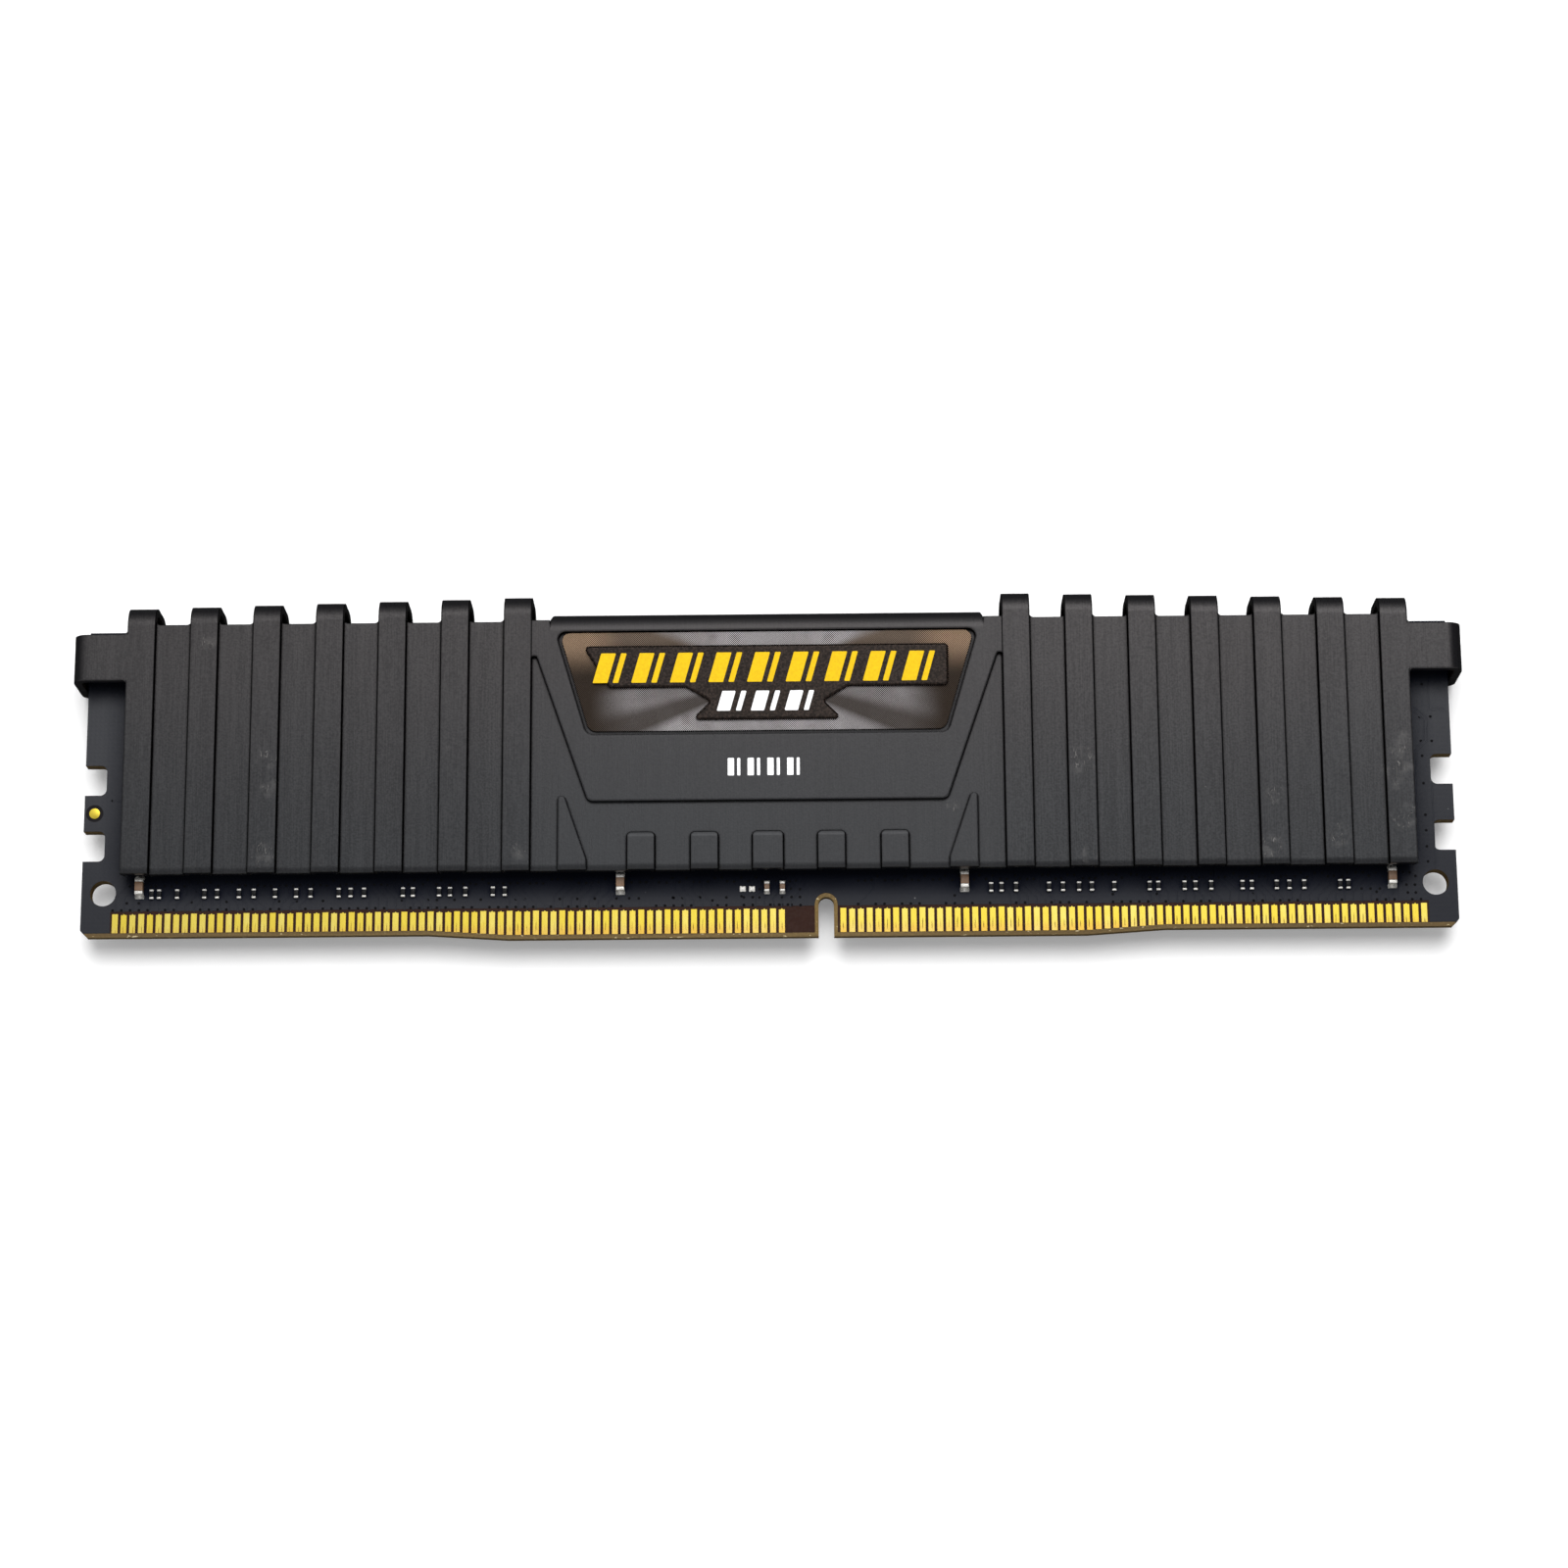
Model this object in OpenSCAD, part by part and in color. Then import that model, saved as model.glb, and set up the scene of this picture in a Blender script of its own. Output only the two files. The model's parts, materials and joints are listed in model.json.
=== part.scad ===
// Desktop memory module: a 288-contact circuit board between two stamped heat-spreader plates.
// The module lies on its rear plate. X runs along the module, Y from the contacts to the
// teeth, Z from the rear plate to the front plate. The origin is the middle of the underside.

/* [Board] */
// Length of the circuit board
board_l = 133.35; // [133.2:0.05:133.5]
// Height of the board from the contact edge to the top edge
board_h = 31.1; // [31.0:0.05:31.15]
// Thickness of the finished board, solder mask included
board_t = 1.4; // [1.3:0.05:1.5]
// How far the ends of the contact edge sit above its middle
edge_step = 0.5; // [0.3:0.05:0.6]
// Distance of the key slot's centre from the middle of the board
key_x = 5.575; // [5.5:0.025:5.65]
// Width of the key slot
key_w = 1.5; // [1.4:0.05:1.6]
// Height of the key slot's round top
key_h = 3.9; // [3.7:0.05:4.0]
// Depth of the latch notches in the two end edges
notch_d = 2.1; // [1.9:0.05:2.3]
// Diameter of the two tooling holes
hole_d = 2.5; // [2.3:0.05:2.6]

/* [Contacts] */
// Distance from one contact to the next
pitch = 0.85; // [0.84:0.005:0.855]
// Width of one contact
contact_w = 0.6; // [0.5:0.01:0.65]
// Height of the contacts' upper ends above the middle of the contact edge
contact_top = 2.65; // [2.5:0.05:2.8]

/* [Heat spreader] */
// Width of each plate without its end tabs
plate_w = 125.2; // [124.8:0.1:125.4]
// Height of the plates' lower edge above the contact edge
plate_low = 6.15; // [6.0:0.05:6.3]
// Thickness of the sheet that the plates are stamped from
sheet_t = 0.8; // [0.7:0.05:0.8]
// Height of the raised ribs and panel above the rest of the plate
relief = 0.5; // [0.4:0.05:0.5]
// Width of one raised rib
rib_w = 2.72; // [2.6:0.02:2.8]
// Distance from one rib to the next
rib_pitch = 6.14; // [6.10:0.01:6.14]
// Highest point of the tooth next to the badge
tooth_high = 34.0; // [33.8:0.05:34.2]
// How much lower each tooth is than the one before it
tooth_fall = 0.133; // [0.1:0.001:0.15]
// Outer radius of the bend at the top of each tooth
tooth_r = 2.1; // [1.6:0.05:2.1]

/* [Chips] */
// Width of one memory chip
chip_w = 8; // [7.5:0.1:8.5]
// Height of one memory chip along the board
chip_h = 11; // [10:0.1:11.5]
// Thickness of one memory chip
chip_t = 1.1; // [1.0:0.05:1.1]

/* [Hidden] */

$fn = 48;
eps = 0.01;
arc_steps = 6;

// Levels above the board's middle plane
mask_t = 0.04;
mask_top = board_t / 2;
core_top = mask_top - mask_t;
contact_t = 0.05;
base_out = 3.0;
base_in = base_out - sheet_t;
raised_out = base_out + relief;
raised_in = base_in + relief;
mid_gap = 0.1;

// Contact edge and board outline
end_flat = 38.3;
mid_flat_left = -25.2;
mid_flat_right = 30.8;
slope_left = -33;
corner = 0.65;
bevel_in = 0.25;
bevel_up = 0.35;
bevel_section = [[-1, -bevel_in - bevel_in / bevel_up], [bevel_up, 0], [bevel_up, 1], [-1, 1]];
notch_low = 8.0;
notch_high = 14.6;
notch_w = 3.0;
notch_r = 0.6;
hole_x = 64.57;
hole_y = 4.8;
contacts_left = 77;
contacts_right = 67;
first_left = -63.325;
first_right = 7.225;
contact_tip = 0.12;
contact_gap = 0.35;
contact_tall = 0.1;
bare_x = 63.8;
bare_high = 3.0;
fiducial = [-65.66, 12.8];

// Plates
ribs = 7;
rib_x0 = 23.0;
plate_high = 31.2;
lap = 0.4;
corner_fillet = 0.45;
tab_low = 25.5;
tab_high = 30.15;
tab_out = 67.85;
tab_r = 1.35;
flange_top = 32.1;
flange_r = 1.95;
bend_low = flange_top - flange_r;
flange_half = 20.83;
flange_slant = 0.37;
panel_low = 12.95;
panel_foot = 17.4;
apex_x = 22.47;
apex_y = 27.6;
pocket_low = 19.55;
pocket_high = 30.05;
pocket_low_half = 17.6;
pocket_high_half = 20.7;
pocket_low_r = 0.95;
pocket_high_r = 0.8;
badge_gap = 0.4;
badge_top_gap = 0.1;
badge_t = 0.2;
plaque_t = 0.3;
short_rib_w = 2.7;
middle_rib_w = 3.0;
short_rib_high = 9.85;
sliver_out = 20.3;
sliver_in = 17.55;
sliver_high = 13.45;
sliver_tip = 0.6;
sliver_foot = 7.15;

// Chips and small parts
chips_per_side = 4;
chip_x0 = 25.5;
chip_pitch = 9.3;
chip_y = 19;
cap_x = [-61.0, -14.35, 19.0, 60.35];
cap_y = 5.35;
cap_size = [0.8, 1.6, 0.8];
small_cap_x = [-0.15, 1.35];
small_cap_y = 4.85;
small_cap_size = [0.5, 1.0, 0.5];
resistor_y = 4.65;
resistor_size = [0.42, 0.95, 0.3];
resistor_x = [
    -59.82, -59.09, -57.33, -54.69, -53.45, -51.33, -49.9, -47.83, -45.78, -44.38,
    -41.65, -40.5, -39.2, -35.43, -34.46, -31.92, -30.86, -29.37, -26.71, -25.56,
    21.56, 22.56, 23.97, 27.16, 28.51, 30.06, 31.3, 33.47, 36.89, 37.73,
    40.27, 41.32, 42.84, 45.86, 46.76, 49.17, 50.39, 51.83, 55.31, 56.09
];
solder_x = [-2.5, -1.6];
solder_y = 4.7;

// The module's own drawing has its contact edge at Y 0 and its middle plane at Z 0
module placed() {
    translate([0, -tooth_high / 2, raised_out]) children();
}

module rear() {
    mirror([0, 0, 1]) children();
}

module both_sides() {
    children();
    rear() children();
}

module both_ends() {
    children();
    mirror([1, 0, 0]) children();
}

// A flat outline raised from one level to another
module layer(from, to) {
    translate([0, 0, from]) linear_extrude(to - from) children();
}

// A profile drawn as (Z, Y) and drawn out along X
module along_x(length) {
    rotate([0, 90, 0]) linear_extrude(length) mirror([1, 0]) children();
}

// A profile drawn as (X, Z) and drawn out along Y
module along_y(length) {
    translate([0, length, 0]) rotate([90, 0, 0]) linear_extrude(length) children();
}

// Corner p of an outline as an arc of radius r
function unit(v) = v / norm(v);
function corner_arc(before, p, after, r) =
    let(u = unit(before - p), w = unit(after - p), half = acos(u * w) / 2,
        centre = p + unit(u + w) * r / sin(half),
        a = p + u * r / tan(half) - centre, b = p + w * r / tan(half) - centre,
        start = atan2(a.y, a.x), turn = (atan2(b.y, b.x) - start + 540) % 360 - 180)
    [for (i = [0 : arc_steps])
        let(t = start + turn * i / arc_steps) centre + r * [cos(t), sin(t)]];

// An outline with each corner rounded by its own radius, 0 for a sharp corner
function rounded(points, radii) =
    let(n = len(points))
    [for (i = [0 : n - 1])
        each (radii[i] == 0 ? [points[i]]
            : corner_arc(points[(i + n - 1) % n], points[i], points[(i + 1) % n], radii[i]))];

function mirrored(points) = [for (i = [len(points) - 1 : -1 : 0]) [-points[i].x, points[i].y]];

// ---- circuit board ----

// Height of the contact edge at x
function edge_y(x) =
    x < 0 ? edge_step * max(0, min(1, (mid_flat_left - x) / (mid_flat_left - slope_left)))
          : edge_step * max(0, min(1, (x - mid_flat_right) / (end_flat - mid_flat_right)));

module latch_notch(low) {
    x0 = board_l / 2 - notch_d;
    polygon(rounded([[x0, low], [x0, low + notch_w], [x0 + 5, low + notch_w], [x0 + 5, low]],
        [notch_r, notch_r, 0, 0]));
}

module board_outline() {
    half = board_l / 2;
    difference() {
        polygon([
            [-half, board_h], [-half, edge_step + corner], [-half + corner, edge_step],
            [slope_left, edge_step], [mid_flat_left, 0], [mid_flat_right, 0],
            [end_flat, edge_step], [half - corner, edge_step], [half, edge_step + corner],
            [half, board_h]]);
        both_ends() {
            latch_notch(notch_low);
            latch_notch(notch_high);
            translate([hole_x, hole_y]) circle(d = hole_d);
        }
        translate([key_x - key_w / 2, -1]) square([key_w, key_h - key_w / 2 + 1]);
        translate([key_x, key_h - key_w / 2]) circle(d = key_w);
    }
}

// Cutter that bevels the whole contact edge, following its slopes
module contact_edge_bevel() {
    stations = [-board_l / 2 - 1, slope_left, mid_flat_left, mid_flat_right, end_flat, board_l / 2 + 1];
    corners = len(bevel_section);
    last = corners * (len(stations) - 1);
    polyhedron(
        [for (x = stations, p = bevel_section) [x, edge_y(x) + p.x, core_top + p.y]],
        concat(
            [[for (k = [0 : corners - 1]) k]],
            [for (i = [0 : corners : last - corners], k = [0 : corners - 1])
                [i + k, i + corners + k, i + corners + (k + 1) % corners, i + (k + 1) % corners]],
            [[for (k = [corners - 1 : -1 : 0]) last + k]]));
}

// Cutter that bevels one straight side of the key slot, from a to b with the board on its left
module slot_side_bevel(a, b) {
    run = b - a;
    translate([a.x, a.y, core_top]) rotate([0, 0, atan2(run.y, run.x)])
        rotate([90, 0, 90]) linear_extrude(norm(run)) polygon(bevel_section);
}

module key_bevel() {
    side = key_w / 2;
    top = key_h - side;
    slot_side_bevel([key_x - side, -1], [key_x - side, top]);
    slot_side_bevel([key_x + side, top], [key_x + side, -1]);
    translate([key_x, top, core_top - bevel_in])
        cylinder(h = bevel_in + eps, r1 = side, r2 = side + bevel_up);
}

module circuit_board() {
    color([0.36, 0.27, 0.14]) difference() {
        layer(-core_top, core_top) board_outline();
        both_sides() {
            contact_edge_bevel();
            key_bevel();
        }
    }
}

// The area round the contacts that the solder mask leaves bare
module bare_area() {
    translate([-bare_x, -1]) square([2 * bare_x, bare_high + 1]);
    translate([key_x - key_w / 2 - bevel_up - eps, -1])
        square([key_w + 2 * bevel_up + 2 * eps, key_h - key_w / 2 + 1]);
    translate([key_x, key_h - key_w / 2]) circle(d = key_w + 2 * bevel_up + 2 * eps);
}

module solder_mask(with_fiducial) {
    color([0.11, 0.12, 0.15]) layer(core_top, mask_top) difference() {
        board_outline();
        bare_area();
        translate([-board_l, -1]) square([2 * board_l, edge_step + bevel_up + 1 + eps]);
        if (with_fiducial) translate(fiducial) circle(d = 1.7);
    }
}

// One contact: every third is a little taller, and the others end in a small point
module contact(x, index) {
    low = edge_y(x) + contact_gap;
    tall = index % 3 == 0;
    high = contact_top + (tall ? contact_tall : 0);
    tip = tall ? [] : [[x + 0.1, high], [x, high + contact_tip], [x - 0.1, high]];
    layer(core_top, core_top + contact_t) polygon(concat(
        [[x - contact_w / 2, high], [x - contact_w / 2, low],
         [x + contact_w / 2, low], [x + contact_w / 2, high]], tip));
}

module contact_row(first, count) {
    color([0.86, 0.68, 0.22]) for (i = [0 : count - 1]) contact(first + i * pitch, i);
}

module contacts_front_left() { contact_row(first_left, contacts_left); }
module contacts_front_right() { contact_row(first_right, contacts_right); }
module contacts_rear_left() { rear() contact_row(first_left, contacts_left); }
module contacts_rear_right() { rear() contact_row(first_right, contacts_right); }

module fiducial_pad() {
    color([0.86, 0.68, 0.22]) translate([fiducial.x, fiducial.y, core_top])
        cylinder(h = contact_t, d = 1.05);
}

// Two bare pads pinched in the middle, with solder on them
module bare_solder_pads() {
    color([0.9, 0.9, 0.9]) for (x = solder_x) layer(mask_top, mask_top + 0.08)
        translate([x, solder_y]) difference() {
            square([0.58, 0.56], center = true);
            for (s = [-1, 1]) translate([0, s * 0.36]) rotate(45) square(0.22, center = true);
        }
}

// ---- heat spreader ----

// Side view of a rib: up the face, round a bend of radius r and back towards the middle plane
module tooth_profile(top, r) {
    bend = raised_out - r;
    translate([raised_in, plate_low]) square([sheet_t, top - r - plate_low]);
    translate([bend, top - r]) intersection() {
        difference() {
            circle(r);
            circle(r - sheet_t);
        }
        square(r);
    }
    translate([mid_gap, top - sheet_t]) square([bend - mid_gap, sheet_t]);
}

module rib(i) {
    translate([rib_x0 + i * rib_pitch, 0, 0]) along_x(rib_w)
        tooth_profile(tooth_high - i * tooth_fall, tooth_r);
}

// End view of a tab that wraps round the end of the board
module tab_profile() {
    bend_x = tab_out - tab_r;
    bend_z = raised_out - tab_r;
    start = plate_w / 2 - rib_w / 2;
    translate([start, raised_in]) square([bend_x - start, sheet_t]);
    translate([bend_x, bend_z]) intersection() {
        difference() {
            circle(tab_r);
            circle(tab_r - sheet_t);
        }
        square(tab_r);
    }
    translate([tab_out - sheet_t, mid_gap]) square([sheet_t, bend_z - mid_gap]);
}

module end_tab() {
    translate([0, tab_low, 0]) along_y(tab_high - tab_low) tab_profile();
    translate([plate_w / 2, tab_low, 0]) mirror([0, 1, 0]) layer(raised_in, raised_out) inner_fillet(0.3);
    translate([plate_w / 2, tab_high, 0]) layer(raised_in, raised_out) inner_fillet(0.3);
}

// Fills an inside corner whose sides run along +X and +Y
module inner_fillet(r) {
    difference() {
        square(r);
        translate([r, r]) circle(r);
    }
}

// The sheet's full outline, with a fillet on each side of every gap between teeth
module base_outline() {
    half = plate_w / 2;
    polygon(rounded([[-half, plate_high], [-half, plate_low], [half, plate_low], [half, plate_high]],
        [0, 0.3, 0.3, 0]));
    both_ends() for (i = [0 : ribs - 2]) {
        low_x = rib_x0 + i * rib_pitch + rib_w;
        translate([low_x - eps, plate_high - eps]) inner_fillet(corner_fillet);
        translate([low_x + rib_pitch - rib_w + eps, plate_high - eps])
            mirror([1, 0]) inner_fillet(corner_fillet);
    }
}

// The lower, unraised area in the middle: two slanted grooves joined under the panel
module middle_recess() {
    half = [[rib_x0, plate_low - 1], [rib_x0, apex_y], [apex_x, apex_y], [panel_foot, panel_low]];
    polygon(rounded(concat(half, mirrored(half)), [0, 0.25, 0.25, 0.7, 0.7, 0.25, 0.25, 0]));
}

// Half the width of the badge pocket at height y
function pocket_half(y) = pocket_low_half
    + (pocket_high_half - pocket_low_half) * (y - pocket_low) / (pocket_high - pocket_low);

// The badge pocket, or what fills it with a gap at its sides and another at its top
module badge_outline(gap, top_gap) {
    low = pocket_low + gap;
    high = pocket_high - top_gap;
    half = [[pocket_half(high) - gap, high], [pocket_half(low) - gap, low]];
    polygon(rounded(concat(mirrored(half), half),
        [pocket_low_r, pocket_high_r, pocket_high_r, pocket_low_r]));
}

// A short rib under the panel, with round shoulders
module short_rib(x, w) {
    polygon(rounded([[x - w / 2, plate_low], [x + w / 2, plate_low], [x + w / 2, short_rib_high],
        [x - w / 2, short_rib_high]], [0, 0, 0.4, 0.4]));
}

module sliver() {
    polygon(rounded([[sliver_in, plate_low], [sliver_out, plate_low], [sliver_out, sliver_high],
        [sliver_out - sliver_tip, sliver_high], [sliver_in, sliver_foot]], [0, 0, 0.2, 0.2, 0.5]));
}

module short_ribs(shrink) {
    for (i = [-2 : 2]) short_rib(i * rib_pitch, (i == 0 ? middle_rib_w : short_rib_w) - 2 * shrink);
}

module middle_raised() {
    difference() {
        translate([-rib_x0 - lap, plate_low]) square([2 * (rib_x0 + lap), plate_high - plate_low]);
        middle_recess();
        badge_outline(0, 0);
        translate([-flange_half - flange_slant, bend_low])
            square(2 * (flange_half + flange_slant));
    }
    short_ribs(0);
    both_ends() sliver();
}

// The top flange in the middle, bent back over the board, with slanted ends
module top_flange() {
    width = 2 * (flange_half + flange_slant);
    intersection() {
        translate([-width / 2, 0, 0]) along_x(width) tooth_profile(flange_top, flange_r);
        layer(0, raised_out) polygon([
            [-width / 2, plate_high], [-width / 2, bend_low - eps], [width / 2, bend_low - eps],
            [width / 2, plate_high], [flange_half, flange_top], [-flange_half, flange_top]]);
    }
}

// Hollows behind the raised areas, where the sheet was pushed forward
module rib_hollows() {
    both_ends() for (i = [0 : ribs - 1])
        translate([rib_x0 + i * rib_pitch + lap, plate_low - 1, base_in - 1])
            cube([rib_w - 2 * lap, plate_high - plate_low + 1 + eps, relief + 1]);
    layer(base_in - 1, raised_in) {
        translate([0, -1]) short_ribs(lap);
        polygon([[-16.4, 14], [16.4, 14], [17.2, 19.2], [-17.2, 19.2]]);
    }
}

module heat_spreader() {
    difference() {
        union() {
            layer(base_in, base_out) base_outline();
            layer(base_out - eps, raised_out) middle_raised();
            both_ends() {
                for (i = [0 : ribs - 1]) rib(i);
                end_tab();
            }
            top_flange();
        }
        rib_hollows();
    }
}

module front_heat_spreader() { color([0.16, 0.16, 0.17]) heat_spreader(); }
module rear_heat_spreader() { color([0.16, 0.16, 0.17]) rear() heat_spreader(); }

// Soft strip that carries heat from the chips to the plate
module thermal_pad() {
    half = chip_x0 + (chips_per_side - 1) * chip_pitch + chip_w / 2;
    color([0.55, 0.6, 0.66]) layer(mask_top + chip_t, base_in)
        translate([-half, chip_y - chip_h / 2]) square([2 * half, chip_h]);
}

module front_thermal_pad() { thermal_pad(); }
module rear_thermal_pad() { rear() thermal_pad(); }

module badge_plate() {
    color([0.45, 0.42, 0.4]) layer(base_out, base_out + badge_t)
        badge_outline(badge_gap, badge_top_gap);
}

// Raised plaque: a wide band, slanted at its left end, over a waisted foot
module badge_plaque() {
    foot = [[7.9, 24.28], [5.5, 22.85], [7.35, 21.0]];
    outline = concat([[17.7, 28.5], [17.7, 24.28]], foot, mirrored(foot), [[-15.4, 24.28], [-17.95, 28.5]]);
    corner_r = [0.35, 0.5, 0.6, 0.3, 0.3, 0.3, 0.3, 0.6, 0.5, 0.35];
    color([0.08, 0.07, 0.07]) layer(base_out + badge_t, base_out + badge_t + plaque_t)
        polygon(rounded(outline, corner_r));
}

module rear_label() {
    color([0.8, 0.8, 0.8]) rear() layer(base_out, base_out + badge_t)
        badge_outline(badge_gap, badge_gap);
}

// ---- parts on the board ----

// Chips are numbered 1 to 8 from the left end
function chip_x(n) = n <= chips_per_side ? -chip_x0 - (chips_per_side - n) * chip_pitch
                                         : chip_x0 + (n - chips_per_side - 1) * chip_pitch;

module dram_chip(n) {
    color([0.13, 0.13, 0.14]) difference() {
        layer(mask_top, mask_top + chip_t) translate([chip_x(n), chip_y])
            square([chip_w, chip_h], center = true);
        translate([chip_x(n) - chip_w / 2 + 0.8, chip_y + chip_h / 2 - 0.8, mask_top + chip_t - 0.1])
            cylinder(h = 1, d = 0.6);
    }
}

module spd_chip() {
    color([0.13, 0.13, 0.14]) layer(mask_top, mask_top + 0.75)
        translate([0, chip_y]) square([3, 2], center = true);
}

// A chip part along Y: its body, and the two metal caps on its ends
module part_body(x, y, size, cap) {
    layer(mask_top, mask_top + size.z) translate([x, y])
        square([size.x, size.y - 2 * cap], center = true);
}

module part_terminals(x, y, size, cap) {
    for (s = [-1, 1]) layer(mask_top, mask_top + size.z)
        translate([x, y + s * (size.y - cap) / 2]) square([size.x, cap], center = true);
}

module bulk_capacitor_bodies() {
    color([0.5, 0.4, 0.3]) both_sides() for (x = cap_x) part_body(x, cap_y, cap_size, 0.35);
}

module bulk_capacitor_terminals() {
    color([0.8, 0.8, 0.8]) both_sides() for (x = cap_x) part_terminals(x, cap_y, cap_size, 0.35);
}

module small_capacitor_bodies() {
    color([0.5, 0.4, 0.3]) both_sides() for (x = small_cap_x)
        part_body(x, small_cap_y, small_cap_size, 0.25);
}

module small_capacitor_terminals() {
    color([0.8, 0.8, 0.8]) both_sides() for (x = small_cap_x)
        part_terminals(x, small_cap_y, small_cap_size, 0.25);
}

module resistor_bodies() {
    color([0.07, 0.07, 0.08]) for (x = resistor_x) part_body(x, resistor_y, resistor_size, 0.2);
}

module resistor_terminals() {
    color([0.8, 0.8, 0.8]) for (x = resistor_x) part_terminals(x, resistor_y, resistor_size, 0.2);
}

module resistor_bodies_front() { resistor_bodies(); }
module resistor_terminals_front() { resistor_terminals(); }
module resistor_bodies_rear() { rear() resistor_bodies(); }
module resistor_terminals_rear() { rear() resistor_terminals(); }

// Places for the hidden capacitors above and below each chip
module at_decoupling() {
    for (n = [1 : 2 * chips_per_side], dx = [-2, 2], y = [10.5, 27.2])
        translate([chip_x(n) + dx, y, 0]) children();
}

module decoupling_capacitor_bodies() {
    color([0.5, 0.4, 0.3]) both_sides() at_decoupling() part_body(0, 0, small_cap_size, 0.25);
}

module decoupling_capacitor_terminals() {
    color([0.8, 0.8, 0.8]) both_sides() at_decoupling() part_terminals(0, 0, small_cap_size, 0.25);
}

placed() circuit_board();
placed() solder_mask(true);  // solder_mask_front
placed() rear() solder_mask(false);  // solder_mask_rear
placed() contacts_front_left();
placed() contacts_front_right();
placed() contacts_rear_left();
placed() contacts_rear_right();
placed() fiducial_pad();
placed() bare_solder_pads();
placed() front_heat_spreader();
placed() rear_heat_spreader();
placed() front_thermal_pad();
placed() rear_thermal_pad();
placed() badge_plate();
placed() badge_plaque();
placed() rear_label();
for (n = [1 : 2 * chips_per_side]) {
    placed() dram_chip(n);
    placed() rear() dram_chip(n);
}
placed() spd_chip();
placed() bulk_capacitor_bodies();
placed() bulk_capacitor_terminals();
placed() small_capacitor_bodies();
placed() small_capacitor_terminals();
placed() resistor_bodies_front();
placed() resistor_terminals_front();
placed() resistor_bodies_rear();
placed() resistor_terminals_rear();
placed() decoupling_capacitor_bodies();
placed() decoupling_capacitor_terminals();
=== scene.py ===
"""Looks for a desktop memory module: finishes, and the printed, soldered and etched detail."""

import json
import math
import random

import bpy
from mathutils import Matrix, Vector


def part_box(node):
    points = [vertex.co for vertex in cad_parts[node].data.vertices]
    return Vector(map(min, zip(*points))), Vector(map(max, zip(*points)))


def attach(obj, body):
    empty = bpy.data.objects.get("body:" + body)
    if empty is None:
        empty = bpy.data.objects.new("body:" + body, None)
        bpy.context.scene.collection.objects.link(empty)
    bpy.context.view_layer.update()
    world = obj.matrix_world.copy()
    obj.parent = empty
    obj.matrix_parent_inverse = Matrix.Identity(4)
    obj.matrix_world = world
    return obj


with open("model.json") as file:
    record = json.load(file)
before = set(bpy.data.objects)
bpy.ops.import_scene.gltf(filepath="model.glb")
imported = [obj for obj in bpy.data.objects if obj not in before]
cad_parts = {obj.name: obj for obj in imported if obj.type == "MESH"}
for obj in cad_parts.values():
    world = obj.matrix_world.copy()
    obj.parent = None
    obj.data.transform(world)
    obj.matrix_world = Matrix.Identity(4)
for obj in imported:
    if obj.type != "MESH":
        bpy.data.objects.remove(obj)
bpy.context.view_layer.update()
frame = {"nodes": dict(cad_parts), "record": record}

MM = 0.001

# The drawing starts at the contact edge in Y and at the board's middle plane in Z.
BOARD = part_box("circuit_board")
EDGE_Y = BOARD[0].y
MID_Z = (BOARD[0].z + BOARD[1].z) / 2

# Levels on the drawing, in millimetres from the board's middle plane.
MASK_TOP = 0.7
LABEL_OUT = 3.2
RAISED_OUT = 3.5
PLAQUE_TOP = 3.5
INK = 0.02  # thickness of the print on the front
LABEL_INK = 0.01

# Places on the drawing, in millimetres.
BADGE_MID = 25.3  # Y where the badge's rays meet
DOT_PITCH = 0.2  # of the screen printed on the badge
PITCH = 0.85  # of the contacts
FIRST_CONTACT = -63.325
CONTACTS = 150  # contact places in a row, those lost at the key slot included
KEY_X = 5.575
RIB_START = 23.0
RIB_WIDTH = 2.72
RIB_PITCH = 6.14
RIBS_REACH = 39.2  # from the first rib's edge to just short of the last rib's outer edge
SHORT_RIB_TOP = 9.85
SHORT_RIB_CORNER = 0.4
SHORT_RIBS_END = 14.5
LIP = (6.15, 0.65)  # where the plate's lower edge curls back, and over what width
FIDUCIAL = (-65.66, 12.8)
CAPACITOR_X = (-61.0, -14.35, 19.0, 60.35)
CAPACITOR_ENDS = (4.58, 6.12)
SMALL_CAPACITOR_X = (-0.15, 1.35)
SMALL_CAPACITOR_ENDS = (4.37, 5.33)
TRACK_WIDTH, TRACK_HEIGHT = 0.10, 0.010
VIA_RADIUS = 0.135
VIA_ASIDE = 0.26  # how far a via sits to the left of its contact's middle
UPPER_VIAS = 190

ROUTES_SEED, LABEL_SEED = 11, 5


def at(x, y, z):
    """A point of the drawing, in millimetres, as a place in the row frame."""
    return Vector((x * MM, y * MM + EDGE_Y, z * MM + MID_Z))


# ---- shaders ----


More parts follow.
